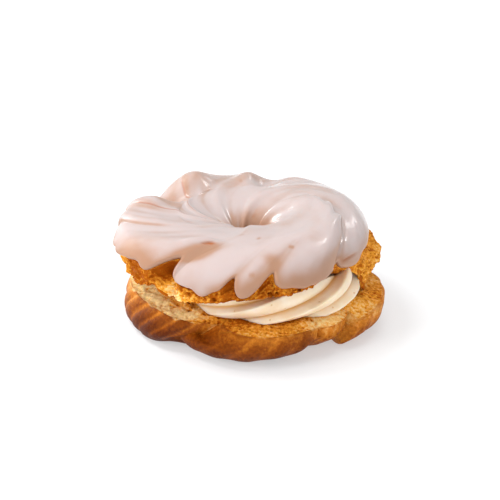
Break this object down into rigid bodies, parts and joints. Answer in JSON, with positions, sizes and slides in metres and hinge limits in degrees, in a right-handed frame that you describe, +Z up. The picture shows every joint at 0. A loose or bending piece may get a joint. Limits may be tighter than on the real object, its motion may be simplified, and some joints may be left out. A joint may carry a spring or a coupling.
{
  "type": "choux ring",
  "caption": "Filled choux ring: twisted golden base, piped star rope of pale cream and a tipped twisted lid under glossy pinkish-white icing with drips, round a small centre hole.",
  "frame": {"origin": "on the surface that the ring stands on, under the middle of its outline", "axes": "+Z up through the hole, -Y towards the shown front, +X to the right of the shown front"},
  "size_m": [0.0946, 0.0926, 0.0438],
  "materials": {
    "baked_crust": "baked choux pastry, golden brown, matt with a faint sheen on the crust and open crumb at the cut",
    "cream": "piped buttercream, pale yellow, soft satin",
    "icing": "poured sugar icing, pinkish white, glossy and slightly see-through where it is thin"
  },
  "bodies": {
    "root": {"choux_base": "baked_crust", "cream": "cream", "choux_top": "baked_crust", "icing": "icing"}
  },
  "joints": []
}
